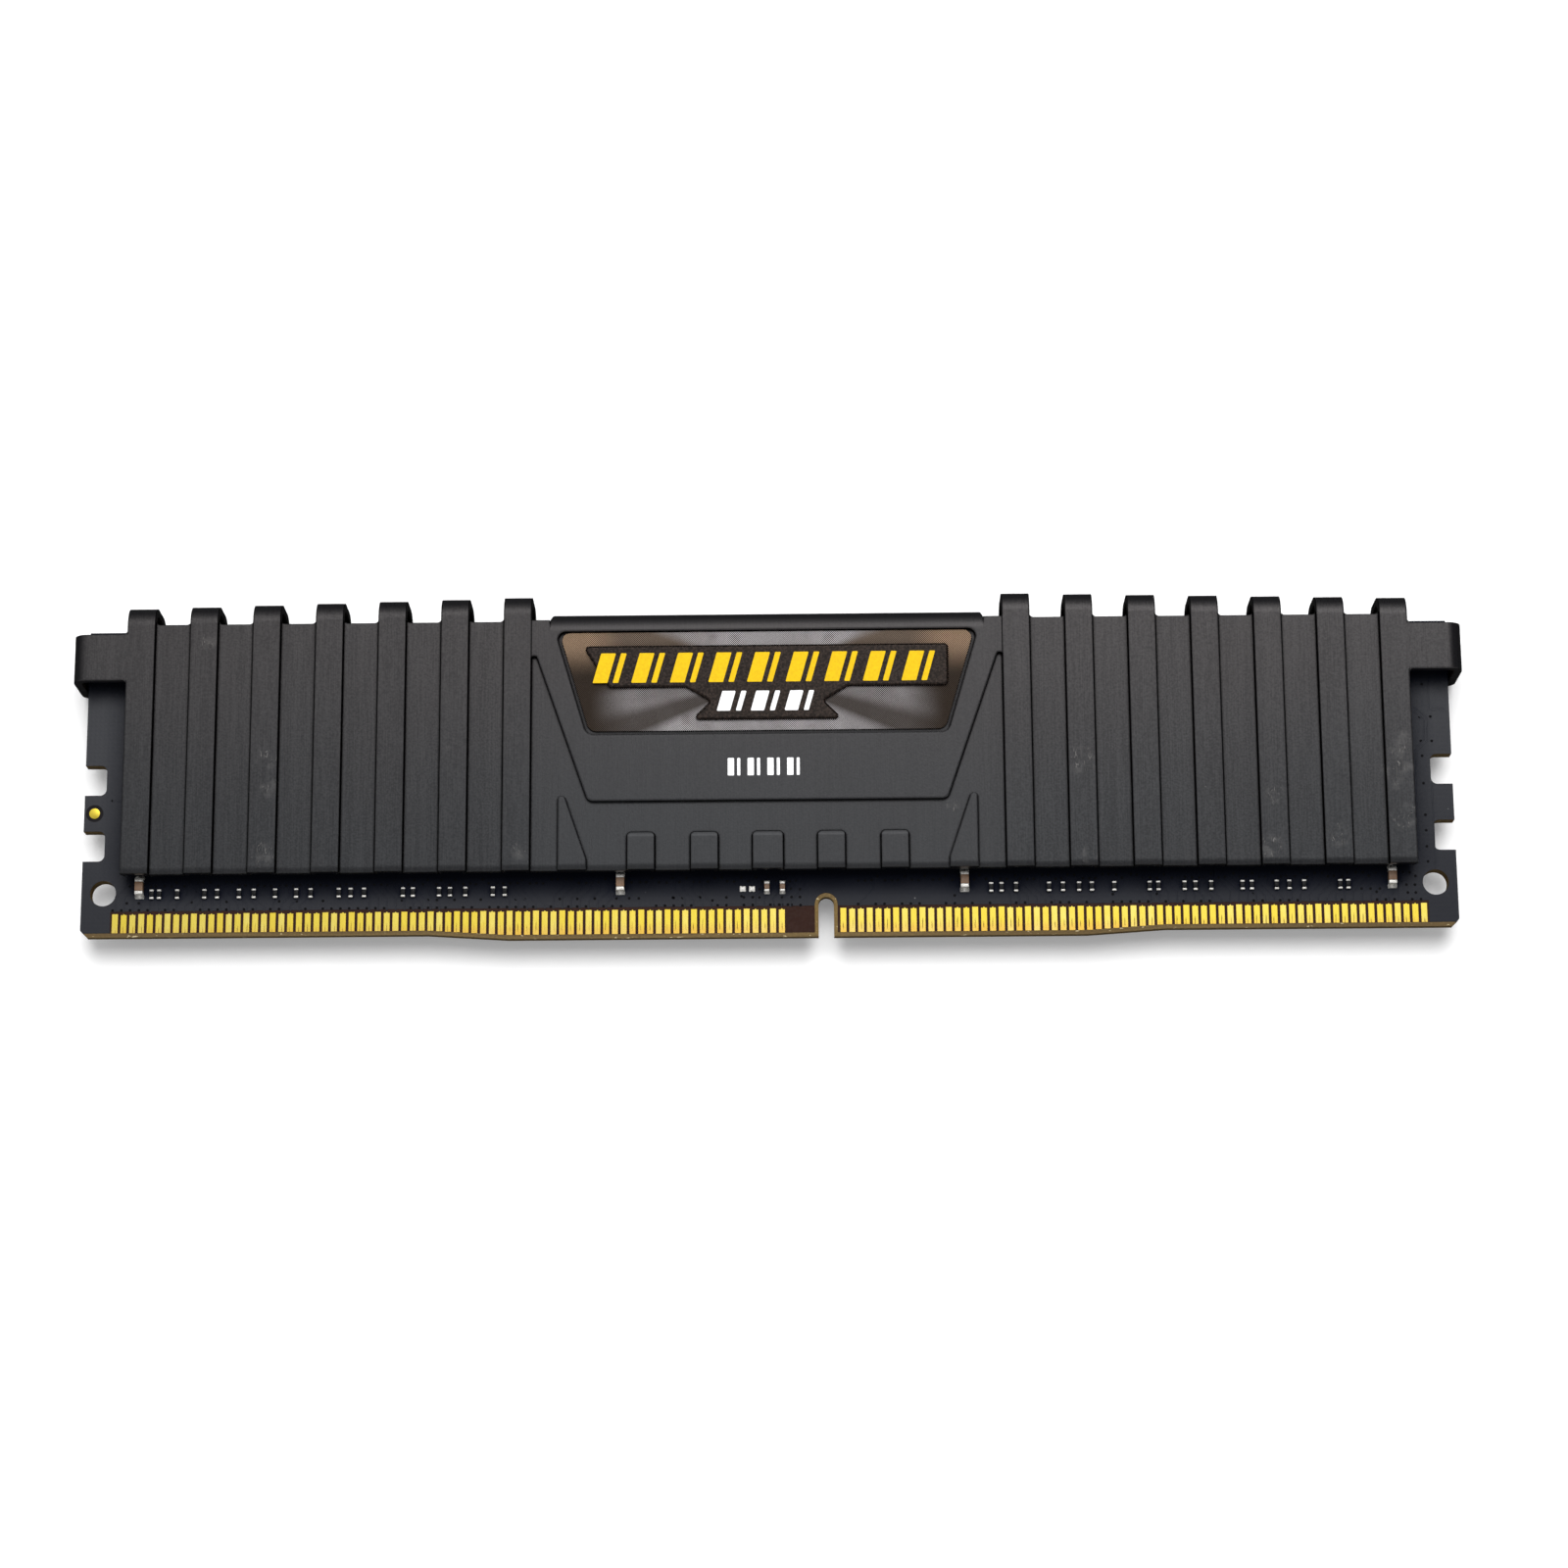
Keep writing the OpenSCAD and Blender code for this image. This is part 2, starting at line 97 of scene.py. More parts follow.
class Nodes:
    """Short calls for the nodes of a tree."""

    def __init__(self, tree):
        self.tree = tree

    def feed(self, socket, value):
        if isinstance(value, bpy.types.NodeSocket):
            self.tree.links.new(value, socket)
        elif isinstance(value, tuple) and socket.type == "RGBA":
            socket.default_value = (*value, 1.0)
        else:
            socket.default_value = value

    def node(self, kind, inputs=None, **settings):
        made = self.tree.nodes.new("ShaderNode" + kind)
        for key, value in settings.items():
            setattr(made, key, value)
        for key, value in (inputs or {}).items():
            self.feed(made.inputs[key], value)
        return made

    def math(self, operation, *values, clamp=False):
        inputs = dict(enumerate(values))
        return self.node("Math", inputs, operation=operation, use_clamp=clamp).outputs[0]

    def plus(self, a, b, clamp=False):
        return self.math("ADD", a, b, clamp=clamp)

    def minus(self, a, b):
        return self.math("SUBTRACT", a, b)

    def times(self, a, b, clamp=False):
        return self.math("MULTIPLY", a, b, clamp=clamp)

    def over(self, a, b, clamp=False):
        return self.math("DIVIDE", a, b, clamp=clamp)

    def size_of(self, a):
        return self.math("ABSOLUTE", a)

    def larger(self, a, b):
        return self.math("MAXIMUM", a, b)

    def smaller(self, a, b):
        return self.math("MINIMUM", a, b)

    def above(self, a, b):
        """1 where a is above b, else 0."""
        return self.math("GREATER_THAN", a, b)

    def below(self, a, b):
        """1 where a is below b, else 0."""
        return self.math("LESS_THAN", a, b)

    def band(self, value, low, high, bottom=0.0, top=1.0):
        """Maps value smoothly from low..high to bottom..top, and holds it beyond."""
        inputs = {
            "Value": value, "From Min": low, "From Max": high, "To Min": bottom, "To Max": top,
        }
        return self.node("MapRange", inputs, interpolation_type="SMOOTHSTEP").outputs[0]

    def mix(self, factor, a, b):
        """Colour a where factor is 0, and b where it is 1."""
        return self.node("Mix", {0: factor, 6: a, 7: b}, data_type="RGBA").outputs[2]


class Shader(Nodes):
    """A material with one Principled BSDF, and calls for what its surface needs."""

    def __init__(self, name, roughness=0.5, metallic=0.0):
        self.material = bpy.data.materials.new(name)
        self.material.use_nodes = True
        super().__init__(self.material.node_tree)
        self.bsdf = self.tree.nodes["Principled BSDF"]
        self.set("Roughness", roughness)
        self.set("Metallic", metallic)
        self.coords = self.node("TexCoord").outputs["Object"]

    def set(self, name, value):
        self.feed(self.bsdf.inputs[name], value)

    def scaled(self, x, y, z):
        """Object coordinates times a factor along each axis."""
        return self.node("Mapping", {"Vector": self.coords, "Scale": (x, y, z)}).outputs[0]

    def axis(self, index):
        """One object coordinate, in metres."""
        return self.node("SeparateXYZ", {0: self.coords}).outputs[index]

    def drawing_x(self):
        return self.over(self.axis(0), MM)

    def drawing_y(self):
        return self.over(self.minus(self.axis(1), EDGE_Y), MM)

    def distance(self, point, coords=None):
        """How far the surface is from a point, in metres."""
        inputs = {0: self.coords if coords is None else coords, 1: point}
        return self.node("VectorMath", inputs, operation="DISTANCE").outputs["Value"]

    def noise(self, scale, detail=3.0, vector=None):
        inputs = {"Scale": scale, "Detail": detail}
        inputs["Vector"] = self.coords if vector is None else vector
        return self.node("TexNoise", inputs).outputs[0]

    def wave(self, scale, direction):
        inputs = {"Vector": self.coords, "Scale": scale, "Distortion": 0.5}
        return self.node("TexWave", inputs, bands_direction=direction).outputs["Fac"]

    def crevice(self, distance):
        """1 in the open, falling to 0 in a corner."""
        return self.node("AmbientOcclusion", {"Distance": distance}, samples=6).outputs["AO"]

    def bump(self, *layers, edge=None):
        """Bump from pairs of a height and its depth, over edges rounded by a radius, in metres."""
        normal = None
        if edge is not None:
            normal = self.node("Bevel", {"Radius": edge}, samples=6).outputs[0]
        for height, depth in layers:
            inputs = {"Height": height, "Distance": depth}
            if normal is not None:
                inputs["Normal"] = normal
            normal = self.node("Bump", inputs).outputs[0]
        self.set("Normal", normal)


def dust(shader, scale, size, share):
    """Sparse specks: 1 on a speck."""
    cells = shader.node("TexVoronoi", {"Vector": shader.coords, "Scale": scale})
    near = shader.band(cells.outputs["Distance"], size * 0.6, size, 1.0, 0.0)
    pick = shader.node("SeparateColor", {0: cells.outputs["Color"]}).outputs[0]
    return shader.times(near, shader.below(pick, share))


def scratches(shader, scale, where):
    """Fine curved hairlines, broken up and kept to where the mask allows them: 1 on a scratch."""
    total = 0.0
    for turn in (0.4, 1.3):
        inputs = {"Vector": shader.coords, "Rotation": (0, 0, turn), "Scale": (1, 0.3, 1)}
        path = shader.node("Mapping", inputs).outputs[0]
        swell = shader.noise(scale, 1, path)
        near = shader.size_of(shader.minus(swell, 0.5))
        line = shader.band(near, 0.005, 0.015, 1.0, 0.0)
        broken = shader.band(shader.noise(scale * 2.2, 2, path), 0.50, 0.58)
        total = shader.larger(total, shader.times(line, broken))
    return shader.times(total, where)


WORN = (  # handled spots on the front: x, y and radius on the drawing, in millimetres
    (61.2, 15.0, 2.2), (61.6, 10.5, 1.8), (61.3, 18.0, 1.6), (30.4, 16.6, 1.7), (49.0, 13.0, 1.2),
    (55.0, 8.9, 1.5), (31.0, 7.2, 1.2), (48.4, 7.7, 1.6), (-48.6, 17.4, 1.3), (-48.3, 14.6, 1.2),
    (-54.6, 29.4, 1.0), (-48.7, 7.9, 1.5), (-24.0, 7.9, 1.1), (-31.2, 18.4, 0.5), (17.9, 12.3, 0.8),
)


def worn_spots(shader):
    """1 inside the handled spots, fading out around them."""
    flat = shader.scaled(1, 1, 0)
    total = 0.0
    for x, y, radius in WORN:
        apart = shader.distance((x * MM, y * MM + EDGE_Y, 0.0), flat)
        total = shader.plus(total, shader.band(apart, radius * 0.5 * MM, radius * MM, 1.0, 0.0))
    return shader.smaller(total, 1.0)


def rolled_edge(shader, edge, width):
    """Height that falls away towards an edge at a drawing Y, over that width."""
    up = shader.minus(shader.axis(1), EDGE_Y + edge * MM)
    away = shader.minus(1.0, shader.over(up, width * MM, clamp=True))
    return shader.minus(1.0, shader.times(away, away))


def short_ribs(shader):
    """How far outside the short ribs' outline the surface is, and how far their tops curl over."""
    x, y = shader.drawing_x(), shader.drawing_y()
    cell = shader.math("FRACT", shader.plus(shader.over(x, RIB_PITCH), 0.5))
    apart = shader.times(shader.size_of(shader.minus(cell, 0.5)), RIB_PITCH)
    off_middle = shader.size_of(x)
    half = shader.band(off_middle, 3.0, 3.1, 1.5, 1.35)
    side = shader.larger(shader.minus(apart, shader.minus(half, SHORT_RIB_CORNER)), 0.0)
    top = shader.larger(shader.minus(y, SHORT_RIB_TOP - SHORT_RIB_CORNER), 0.0)
    square = shader.plus(shader.times(side, side), shader.times(top, top))
    outside = shader.minus(shader.math("SQRT", square), SHORT_RIB_CORNER)
    outside = shader.plus(outside, shader.above(off_middle, SHORT_RIBS_END))
    away = shader.band(y, SHORT_RIB_TOP - 0.6, SHORT_RIB_TOP)
    curl = shader.times(shader.times(away, away), shader.below(outside, 0.0))
    return outside, curl


def crease_shade(shader, outside):
    """Painted shade: dark lines where the stamped ribs rise from the sheet; 1 on a line."""
    x = shader.minus(shader.size_of(shader.drawing_x()), RIB_START)
    cell = shader.times(shader.math("FRACT", shader.over(x, RIB_PITCH)), RIB_PITCH)
    near = shader.smaller(cell, shader.minus(RIB_PITCH, cell))
    near = shader.smaller(near, shader.size_of(shader.minus(cell, RIB_WIDTH)))
    near = shader.plus(near, shader.below(x, -0.2))
    near = shader.plus(near, shader.above(x, RIBS_REACH))
    near = shader.smaller(near, shader.size_of(outside))
    return shader.band(near, 0.03, 0.10, 1.0, 0.0)


def anodised_plate():
    """Black anodised sheet, brushed lengthwise, with a few handled spots; painted shade darkens its
    corners and the lines where the ribs rise, and painted light grades its shine.
    """
    s = Shader("anodised_plate", 0.4)
    brush = s.noise(9000, 2, s.scaled(1, 0.03, 0.3))
    streak = s.noise(1100, 2, s.scaled(1, 0.02, 0.3))
    patch = s.noise(70, 4)
    grain = s.noise(5200, 3)
    outer = s.band(s.size_of(s.axis(0)), 18 * MM, 28 * MM, 0.35, 1.0)
    lines = s.plus(s.times(brush, 0.7), s.times(streak, 0.3))
    fine = s.plus(s.times(lines, 0.5), s.times(grain, 0.5))
    fine = s.plus(0.5, s.times(outer, s.minus(fine, 0.5)))
    height = s.band(s.axis(1), -12 * MM, 16 * MM)
    warm = s.plus(s.times(height, 0.7), s.times(patch, 0.4))
    worn = worn_spots(s)
    haze = s.times(worn, s.band(s.noise(900, 4), 0.45, 0.7, 0.0, 0.06))
    marks = s.larger(scratches(s, 1500, worn), dust(s, 380, 0.028, 0.10))
    light = s.plus(haze, s.times(marks, 0.18), clamp=True)
    colour = s.mix(light, (0.005, 0.005, 0.006), (0.40, 0.38, 0.36))
    outside, curl = short_ribs(s)
    # Painted shade: the base colour and the shine darken in corners and along the lines where the
    # ribs rise.
    shade = s.band(s.crevice(0.4 * MM), 0.52, 0.85)
    shade = s.times(shade, s.band(crease_shade(s, outside), 0.0, 1.0, 1.0, 0.15))
    s.set("Base Color", s.mix(shade, (0.0, 0.0, 0.0), colour))
    # Painted light: the shine grows towards the top; painted shade turns it down on the outer ribs
    # near the bottom.
    shine = s.times(s.band(fine, 0.34, 0.66, 0.56, 0.92), s.band(height, 0.0, 1.0, 0.99, 1.06))
    lower = s.times(s.band(outer, 0.35, 1.0, 0.0, 0.15), s.minus(1.0, height))
    shine = s.times(shine, s.minus(1.0, lower))
    s.set("Specular IOR Level", s.times(shade, shine))
    s.set("Specular Tint", s.mix(warm, (0.90, 0.95, 1.0), (1.0, 0.93, 0.92)))
    s.set("Roughness", s.plus(0.20, s.times(s.plus(brush, patch), 0.1)))
    s.bump(
        (brush, 0.000004), (grain, 0.000006), (marks, 0.00001),
        (rolled_edge(s, *LIP), 0.00010), (curl, -0.00008), edge=0.26 * MM,
    )
    return s.material


def solder_mask():
    """Dark lacquer over the weave, with painted light and shade in its shine: less near the plates,
    in corners and at the board's top, more up the board and to the left.
    """
    s = Shader("solder_mask", 0.3)
    x, y = s.drawing_x(), s.drawing_y()
    patch = s.noise(160, 4)
    peel = s.noise(2600, 3)
    weave = s.times(s.wave(700, "X"), s.wave(700, "Y"))
    colour = s.mix(patch, (0.0030, 0.0040, 0.0080), (0.0060, 0.0070, 0.0120))
    specks = dust(s, 500, 0.04, 0.1)
    s.set("Base Color", s.mix(s.times(specks, 0.4), colour, (0.3, 0.3, 0.3)))
    # Painted light and shade: the shine is cut over the top strip, grows up the board and falls off
    # from left to right.
    up = s.times(s.band(y, 30.1, 30.4, 1.0, 0.15), s.band(y, 2.0, 21.0, 0.78, 1.25))
    side = s.band(x, -65.0, 65.0, 1.12, 0.90)
    # Painted shade: the shine is cut in corners and along the strip just under the plates' lower
    # edge.
    painted_shelter_shade = s.band(s.crevice(3 * MM), 0.62, 0.98, 0.0, 0.58)
    strip = s.below(s.size_of(x), 61.0)
    near = s.times(strip, s.band(y, 3.0, 5.4, 0.0, 0.75))
    painted_shelter_shade = s.times(painted_shelter_shade, s.minus(1.0, near))
    s.set("Specular IOR Level", s.times(s.times(up, side), painted_shelter_shade))
    s.set("Roughness", s.plus(0.28, s.times(s.plus(patch, peel), 0.12)))
    s.bump((peel, 0.000006), (weave, 0.000003))
    return s.material


def laminate():
    """Bare board: tan glass layers at the cut edges, maroon on the flat faces."""
    s = Shader("laminate", 0.5)
    facing = s.node("SeparateXYZ", {0: s.node("NewGeometry").outputs["True Normal"]}).outputs[2]
    flat = s.above(s.size_of(facing), 0.97)
    fibre = s.noise(5000, 3, s.scaled(1, 1, 0.4))
    layer = s.noise(700, 3, s.scaled(0.06, 0.06, 12))
    patch = s.noise(900, 3)
    maroon = s.mix(patch, (0.016, 0.0062, 0.0045), (0.030, 0.0115, 0.0075))
    tan = s.mix(fibre, (0.085, 0.052, 0.016), (0.28, 0.19, 0.072))
    tan = s.mix(s.band(layer, 0.35, 0.65, 0.0, 0.5), tan, (0.080, 0.048, 0.018))
    nick = s.band(s.noise(3200, 2, s.scaled(0.5, 1, 1)), 0.66, 0.72)
    tan = s.mix(s.times(nick, 0.7), tan, (0.75, 0.62, 0.36))
    apart = s.distance(tuple(at(*FIDUCIAL, MASK_TOP)))
    maroon = s.mix(s.below(apart, 1.2 * MM), maroon, (0.006, 0.005, 0.006))
    s.set("Base Color", s.mix(flat, tan, maroon))
    s.set("Specular IOR Level", s.band(flat, 0.0, 1.0, 0.5, 0.16))
    s.set("Roughness", s.band(fibre, 0.3, 0.7, 0.35, 0.6))
    s.bump((fibre, 0.00001), (patch, 0.000008))
    return s.material


def gold():
    """Gold pads, each with its own shade and a thin dark stroke left by a socket's spring."""
    s = Shader("gold", 0.3, 1.0)
    grid = s.over(s.minus(s.axis(0), (FIRST_CONTACT - PITCH / 2) * MM), PITCH * MM)
    across = s.minus(s.math("FRACT", grid), 0.5)
    chance = s.node("TexWhiteNoise", {"W": s.math("FLOOR", grid)}, noise_dimensions="1D")
    red, green, blue = s.node("SeparateColor", {0: chance.outputs["Color"]}).outputs
    up = s.drawing_y()
    lean = s.times(s.minus(up, 1.2), s.times(s.minus(green, 0.5), 0.12))
    off = s.minus(across, s.plus(lean, s.times(s.minus(red, 0.5), 0.2)))
    ragged = s.noise(4200, 3, s.scaled(1, 0.2, 1))
    off = s.plus(s.size_of(off), s.times(s.minus(ragged, 0.5), 0.10))
    wipe = s.band(off, 0.01, 0.06, 1.0, 0.0)
    top = s.plus(1.25, s.times(green, 0.6))
    wipe = s.times(wipe, s.band(s.minus(up, top), -0.35, 0.1, 1.0, 0.0))
    wipe = s.times(wipe, s.band(up, 0.45, 0.9))
    pad = s.below(up, 3.5)
    wipe = s.times(wipe, s.band(blue, 0.1, 0.7, 0.3, 1.0))
    shine = s.mix(s.band(up, 0.45, 1.6), (0.88, 0.53, 0.078), (0.92, 0.70, 0.065))
    pale = s.times(s.noise(1500, 3, s.scaled(1, 0.5, 1)), s.band(red, 0.0, 1.0, 0.15, 0.8))
    shine = s.mix(pale, shine, (0.96, 0.86, 0.30))
    rim = s.times(pad, s.band(s.size_of(across), 0.29, 0.345, 0.0, 0.55))
    shine = s.mix(rim, shine, (0.62, 0.30, 0.05))
    s.set("Base Color", s.mix(s.times(wipe, 0.7), shine, (0.36, 0.20, 0.04)))
    s.set("Roughness", s.plus(0.24, s.times(wipe, 0.25)))
    s.bump((ragged, 0.000006), (wipe, -0.000006))
    return s.material


def tin():
    s = Shader("tin", 0.3, 0.6)
    grain = s.noise(5200, 3)
    s.set("Base Color", s.mix(grain, (0.55, 0.53, 0.50), (0.93, 0.92, 0.88)))
    s.set("Roughness", s.band(grain, 0.3, 0.7, 0.2, 0.42))
    s.bump((grain, 0.00002))
    return s.material


def badge_metal():
    """A printed screen of dots with pale rays that fan out from the middle: the rays are print, and
    the pale centre that fades to bronze ends is painted sheen.
    """
    s = Shader("badge_metal", 0.5)
    x = s.size_of(s.drawing_x())
    y = s.minus(s.drawing_y(), BADGE_MID)
    waves = [s.math("SINE", s.times(s.axis(i), 2 * math.pi / (DOT_PITCH * MM))) for i in (0, 1)]
    dot = s.band(s.times(*waves), -0.15, 0.5)
    angle = s.math("ARCTAN2", s.size_of(y), x)
    # Partly print and partly painted sheen: the pale rays and centre, fading to bronze, stand for
    # the metal label's sheen.
    above = s.above(y, 0.0)
    pale_print_and_sheen = s.band(angle, 0.36, 0.50)
    ray = s.times(s.band(angle, 0.02, 0.12), s.band(angle, 0.19, 0.30, 1.0, 0.25))
    ray = s.times(ray, s.band(x, 13.0, 17.5, 0.62, 0.0))
    pale_print_and_sheen = s.larger(pale_print_and_sheen, s.times(ray, s.minus(1.0, above)))
    pale_print_and_sheen = s.times(pale_print_and_sheen, s.band(s.noise(260, 2), 0.3, 0.7, 0.75, 1.1), clamp=True)
    bronze = s.mix(s.band(y, 1.5, 4.2), (0.050, 0.035, 0.024), (0.225, 0.168, 0.125))
    bronze = s.mix(s.times(s.band(x, 13.5, 18.0), s.band(y, 0.0, 4.0)), bronze, (0.46, 0.31, 0.20))
    bright = s.mix(pale_print_and_sheen, bronze, (0.56, 0.53, 0.54))
    s.set("Base Color", s.mix(dot, (0.003, 0.002, 0.002), bright))
    s.set("Specular IOR Level", s.band(dot, 0.0, 1.0, 0.06, 0.2))
    s.set("Roughness", s.band(s.noise(3000, 3), 0.3, 0.7, 0.42, 0.58))
    s.bump((dot, 0.000004))
    return s.material


def badge_plaque():
    s = Shader("badge_plaque", 0.2)
    mottle = s.noise(5200, 3)
    brown = s.band(mottle, 0.35, 0.68)
    s.set("Base Color", s.mix(brown, (0.001, 0.001, 0.001), (0.012, 0.007, 0.005)))
    s.set("Specular IOR Level", s.band(mottle, 0.3, 0.7, 0.22, 0.42))
    s.set("Specular Tint", (1.0, 0.84, 0.76))
    s.set("Roughness", s.band(mottle, 0.3, 0.7, 0.18, 0.3))
    s.bump((mottle, 0.000003), (s.noise(700, 2), 0.00001))
    return s.material


def print_ink(name, colour, shade):
    s = Shader(name, 0.4)
    grain = s.noise(3800, 3)
    s.set("Base Color", s.mix(s.band(grain, 0.3, 0.75), colour, shade))
    s.set("Specular IOR Level", 0.15)
    s.set("Roughness", s.band(grain, 0.3, 0.7, 0.32, 0.5))
    s.bump((grain, 0.000005))
    return s.material


def label():
    s = Shader("label", 0.45)
    fibre = s.noise(2600, 4)
    s.set("Base Color", s.mix(fibre, (0.62, 0.62, 0.63), (0.80, 0.80, 0.79)))
    s.set("Roughness", s.band(fibre, 0.3, 0.7, 0.38, 0.55))
    s.bump((fibre, 0.000006))
    return s.material


def thermal_pad():
    s = Shader("thermal_pad", 0.8)
    grain = s.noise(2400, 4)
    s.set("Base Color", s.mix(grain, (0.20, 0.24, 0.30), (0.36, 0.41, 0.48)))
    s.set("Roughness", s.band(grain, 0.3, 0.7, 0.7, 0.9))
    s.bump((grain, 0.00004))
    return s.material


def chip_package():
    s = Shader("chip_package", 0.55)
    grain = s.noise(9000, 3)
    s.set("Base Color", s.mix(grain, (0.012, 0.012, 0.013), (0.035, 0.035, 0.036)))
    s.set("Roughness", s.band(grain, 0.3, 0.7, 0.45, 0.65))
    s.bump((grain, 0.000012))
    return s.material


def capacitor_ceramic():
    s = Shader("capacitor_ceramic", 0.4)
    grain = s.noise(4200, 3)
    layer = s.noise(900, 2, s.scaled(0.2, 0.2, 9))
    colour = s.mix(grain, (0.11, 0.062, 0.036), (0.24, 0.15, 0.095))
    s.set("Base Color", s.mix(s.band(layer, 0.4, 0.6, 0.0, 0.35), colour, (0.07, 0.04, 0.025)))
    s.set("Roughness", s.band(grain, 0.3, 0.7, 0.3, 0.5))
    s.bump((grain, 0.00001))
    return s.material


def resistor_ceramic():
    s = Shader("resistor_ceramic", 0.25)
    grain = s.noise(7000, 3)
    s.set("Base Color", s.mix(grain, (0.002, 0.002, 0.003), (0.008, 0.008, 0.009)))
    s.set("Specular IOR Level", 0.2)
    s.set("Roughness", s.band(grain, 0.3, 0.7, 0.18, 0.35))
    s.bump((grain, 0.000008))
    return s.material


def via_hole():
    # Painted shade: the near-black colour stands for the depth of the via's hole.
    s = Shader("via_hole", 0.5)
    grain = s.noise(9000, 2)
    s.set("Base Color", s.mix(grain, (0.0008, 0.0008, 0.001), (0.003, 0.003, 0.0035)))
    s.set("Specular IOR Level", 0.1)
    s.bump((grain, 0.00002))
    return s.material


MATERIALS = {
    make.__name__: make()
    for make in (
        anodised_plate, solder_mask, laminate, gold, tin, badge_metal, badge_plaque, label,
        thermal_pad, chip_package, capacitor_ceramic, resistor_ceramic, via_hole,
    )
}
MATERIALS["yellow_ink"] = print_ink("yellow_ink", (0.66, 0.42, 0.005), (0.76, 0.49, 0.009))
MATERIALS["white_ink"] = print_ink("white_ink", (0.84, 0.84, 0.86), (0.96, 0.96, 0.97))
MATERIALS["dark_ink"] = print_ink("dark_ink", (0.02, 0.02, 0.022), (0.04, 0.04, 0.042))


# ---- the CAD parts ----

SOFT_EDGES = {  # edge radius in millimetres for each finish
    "tin": 0.06,
    "capacitor_ceramic": 0.05,
    "resistor_ceramic": 0.03,
    "chip_package": 0.06,
    "thermal_pad": 0.12,
    "badge_metal": 0.05,
    "badge_plaque": 0.24,
    "gold": 0.015,
    "label": 0.03,
}


def soften(piece, radius):
    """Rounds the sharp edges of a piece, keeping its flat faces flat."""
    weld = piece.modifiers.new("weld", "WELD")
    weld.merge_threshold = 0.001 * MM
    flatten = piece.modifiers.new("flatten", "DECIMATE")
    flatten.decimate_type = "DISSOLVE"
    flatten.angle_limit = math.radians(0.6)
    bevel = piece.modifiers.new("bevel", "BEVEL")
    bevel.width = radius * MM
    bevel.segments = 3
    bevel.limit_method = "ANGLE"
    bevel.angle_limit = math.radians(35)
    bevel.use_clamp_overlap = False
    piece.modifiers.new("normals", "WEIGHTED_NORMAL")


def finish_cad_parts():
    for part in frame["record"]["subparts"]:
        node = frame["nodes"][part["node"]]
        slot = part["material_slot"]
        node.data.materials.clear()
        node.data.materials.append(MATERIALS[slot])
        if slot in SOFT_EDGES:
            node.data.shade_smooth()
            soften(node, SOFT_EDGES[slot])


# ---- pieces made here ----


def add_piece(name, points, faces, material, smooth=False):
    """A mesh from drawing points, riding on the module's one body."""
    mesh = bpy.data.meshes.new(name)
    mesh.from_pydata([at(*p) for p in points], [], faces)
    mesh.materials.append(MATERIALS[material])
    if smooth:
        mesh.shade_smooth()
    piece = bpy.data.objects.new(name, mesh)
    bpy.context.scene.collection.objects.link(piece)
    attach(piece, "root")
    return piece


class Build:
    """Gathers the points and faces of one piece."""

    def __init__(self):
        self.points, self.faces = [], []

    def loops(self, rings, close_top=True, close_bottom=False):
        """Joins rings of equally many points, one after the other."""
        start, count = len(self.points), len(rings[0])
        for ring in rings:
            self.points.extend(ring)
        for r in range(len(rings) - 1):
            low = start + r * count
            for k in range(count):
                after = (k + 1) % count
                self.faces.append((low + k, low + after, low + count + after, low + count + k))
        if close_top:
            last = start + (len(rings) - 1) * count
            self.faces.append(tuple(range(last, last + count)))
        if close_bottom:
            self.faces.append(tuple(range(start + count - 1, start - 1, -1)))


def rounded(corners, radius, steps=5):
    """A closed outline with each corner rounded."""
    outline = []
    count = len(corners)
    for i in range(count):
        p = Vector(corners[i])
        before = (Vector(corners[i - 1]) - p).normalized()
        after = (Vector(corners[(i + 1) % count]) - p).normalized()
        half = before.angle(after) / 2
        centre = p + (before + after).normalized() * (radius / math.sin(half))
        reach = radius / math.tan(half)
        a, b = p + before * reach - centre, p + after * reach - centre
        start = math.atan2(a.y, a.x)
        turn = (math.atan2(b.y, b.x) - start + 3 * math.pi) % (2 * math.pi) - math.pi
        for k in range(steps + 1):
            t = start + turn * k / steps
            outline.append((centre.x + radius * math.cos(t), centre.y + radius * math.sin(t)))
    return outline


def inset(outline, distance):
    """Moves an anticlockwise outline inwards."""
    moved = []
    count = len(outline)
    for i in range(count):
        p = Vector(outline[i])
        a = (p - Vector(outline[i - 1])).normalized()
        b = (Vector(outline[(i + 1) % count]) - p).normalized()
        normal = Vector((-(a.y + b.y), a.x + b.x)).normalized()
        stretch = max(0.5, normal.dot(Vector((-a.y, a.x))))
        moved.append(tuple(p + normal * (distance / stretch)))
    return moved


def slanted_bar(build, x, low, high, width, slant, level, thickness):
    """A printed bar with a slanted top."""
    lean = slant * (high - low)
    corners = [(x, low), (x + width, low), (x + width + lean, high), (x + lean, high)]
    outline = rounded(corners, min(0.08, width / 4), 2)
    edge = inset(outline, 0.02)
    build.loops([
        [(px, py, level) for px, py in outline],
        [(px, py, level + thickness * 0.6) for px, py in outline],
        [(px, py, level + thickness) for px, py in edge],
    ])


def bar_row(name, material, level, start, step, count, second, widths, low, high, slant=0.0):
    """A row of bar pairs, one wide and one narrow, that stands for lettering."""
    build = Build()
    for i in range(count):
        x = start + i * step
        slanted_bar(build, x, low, high, widths[0], slant, level, INK)
        slanted_bar(build, x + second, low, high, widths[1], slant, level, INK)
    add_piece(name, build.points, build.faces, material)


